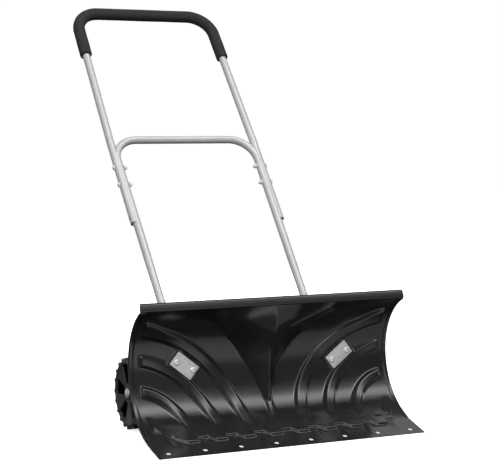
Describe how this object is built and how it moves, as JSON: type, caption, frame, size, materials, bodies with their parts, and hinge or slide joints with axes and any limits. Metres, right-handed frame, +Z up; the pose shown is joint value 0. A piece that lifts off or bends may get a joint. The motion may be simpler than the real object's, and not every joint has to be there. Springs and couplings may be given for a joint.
{
  "type": "wheeled snow pusher",
  "caption": "Wide curved plastic snow blade on two small wheels, pushed by a two-part tube handle with a foam grip.",
  "frame": {"origin": "on the floor, under the middle of the whole object's footprint", "axes": "+Z up, -Y the way the tool is pushed (the blade faces -Y), +X along the blade and the axle"},
  "size_m": [0.66, 0.9516, 1.0207],
  "materials": {
    "blade_plastic": "gloss",
    "wheel_plastic": "matte",
    "plug_plastic": "matte",
    "grip_foam": "matte",
    "silver_tube": "satin",
    "zinc_plate": "satin",
    "zinc_fastener": "gloss",
    "black_steel": "satin"
  },
  "bodies": {
    "frame": {"blade": "blade_plastic", "clamp_plate_left": "zinc_plate", "clamp_plate_right": "zinc_plate", "side_plate_left": "black_steel", "side_plate_right": "black_steel", "lower_frame": "silver_tube", "upper_handle": "silver_tube", "foam_grip": "grip_foam", "leg_plug_left": "plug_plastic", "leg_plug_right": "plug_plastic", "blade_bolt_left_1": "zinc_fastener", "blade_bolt_right_1": "zinc_fastener", "blade_bolt_left_2": "zinc_fastener", "blade_bolt_right_2": "zinc_fastener", "blade_nut_left_1": "zinc_fastener", "blade_nut_right_1": "zinc_fastener", "blade_nut_left_2": "zinc_fastener", "blade_nut_right_2": "zinc_fastener", "leg_bolt_left_1": "zinc_fastener", "leg_bolt_right_1": "zinc_fastener", "leg_bolt_left_2": "zinc_fastener", "leg_bolt_right_2": "zinc_fastener", "leg_washer_left_1": "zinc_fastener", "leg_washer_right_1": "zinc_fastener", "leg_washer_left_2": "zinc_fastener", "leg_washer_right_2": "zinc_fastener", "leg_nut_left_1": "zinc_fastener", "leg_nut_right_1": "zinc_fastener", "leg_nut_left_2": "zinc_fastener", "leg_nut_right_2": "zinc_fastener", "handle_bolt_left_1": "zinc_fastener", "handle_bolt_right_1": "zinc_fastener", "handle_bolt_left_2": "zinc_fastener", "handle_bolt_right_2": "zinc_fastener", "handle_washer_left_1": "zinc_fastener", "handle_washer_right_1": "zinc_fastener", "handle_washer_left_2": "zinc_fastener", "handle_washer_right_2": "zinc_fastener", "handle_nut_left_1": "zinc_fastener", "handle_nut_right_1": "zinc_fastener", "handle_nut_left_2": "zinc_fastener", "handle_nut_right_2": "zinc_fastener", "axle": "zinc_fastener", "axle_pin_left": "zinc_fastener", "axle_pin_right": "zinc_fastener", "axle_spacer_left": "zinc_fastener", "axle_spacer_right": "zinc_fastener", "axle_washer_left_1": "zinc_fastener", "axle_washer_right_1": "zinc_fastener", "axle_washer_left_2": "zinc_fastener", "axle_washer_right_2": "zinc_fastener", "axle_cap_left": "zinc_fastener", "axle_cap_right": "zinc_fastener"},
    "left_wheel": {"wheel_left": "wheel_plastic"},
    "right_wheel": {"wheel_right": "wheel_plastic"}
  },
  "joints": [
    {"name": "left_wheel_spin", "type": "hinge", "parent": "frame", "child": "left_wheel", "pos_m": [-0.259, -0.14584, 0.084], "axis": [1, 0, 0], "continuous": true},
    {"name": "right_wheel_spin", "type": "hinge", "parent": "frame", "child": "right_wheel", "pos_m": [0.259, -0.14584, 0.084], "axis": [1, 0, 0], "continuous": true}
  ]
}
